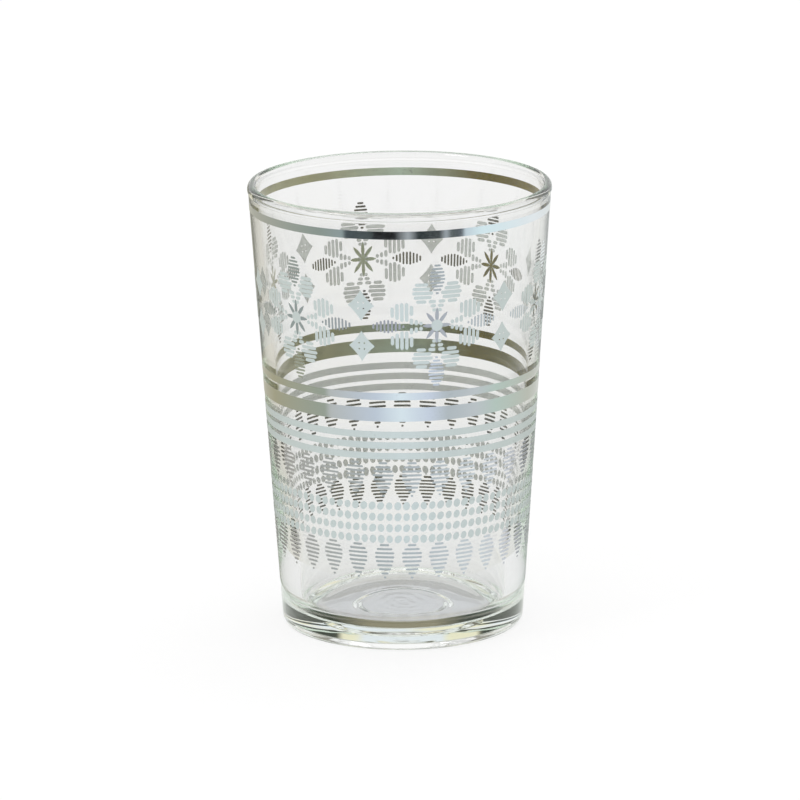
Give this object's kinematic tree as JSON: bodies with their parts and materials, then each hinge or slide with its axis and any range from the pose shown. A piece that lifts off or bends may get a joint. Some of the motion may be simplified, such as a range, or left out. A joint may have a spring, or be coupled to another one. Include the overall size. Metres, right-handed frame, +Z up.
{
  "type": "tea glass",
  "caption": "Tapered clear tea glass with a beaded rim and a thick base, and a fired-on silver and pale enamel print of bands, flowers, leaves and beads.",
  "frame": {"origin": "middle of the foot, on the plane that the glass stands on", "axes": "+Z up along the glass's axis, -Y to the front of the pictured view, +X to its right"},
  "size_m": [0.0604, 0.0604, 0.09],
  "materials": {
    "clear_glass": "clear soda-lime glass with a faint green tint, fire-polished",
    "silver_print": "fired-on silver lustre film",
    "enamel_print": "fired-on pale blue-grey glass enamel film"
  },
  "bodies": {
    "root": {"glass_body": "clear_glass", "rim_band": "silver_print", "belt_band_narrow": "silver_print", "belt_band_wide": "silver_print", "belt_line_1": "enamel_print", "belt_line_2": "enamel_print", "belt_line_3": "enamel_print", "flower_star_1": "silver_print", "gap_star_upper_1": "enamel_print", "gap_star_lower_1": "enamel_print", "flower_star_2": "silver_print", "gap_star_upper_2": "enamel_print", "gap_star_lower_2": "enamel_print", "flower_star_3": "silver_print", "gap_star_upper_3": "enamel_print", "gap_star_lower_3": "enamel_print", "flower_star_4": "silver_print", "gap_star_upper_4": "enamel_print", "gap_star_lower_4": "enamel_print", "flower_star_5": "silver_print", "gap_star_upper_5": "enamel_print", "gap_star_lower_5": "enamel_print", "flower_star_6": "silver_print", "gap_star_upper_6": "enamel_print", "gap_star_lower_6": "enamel_print"}
  },
  "joints": []
}
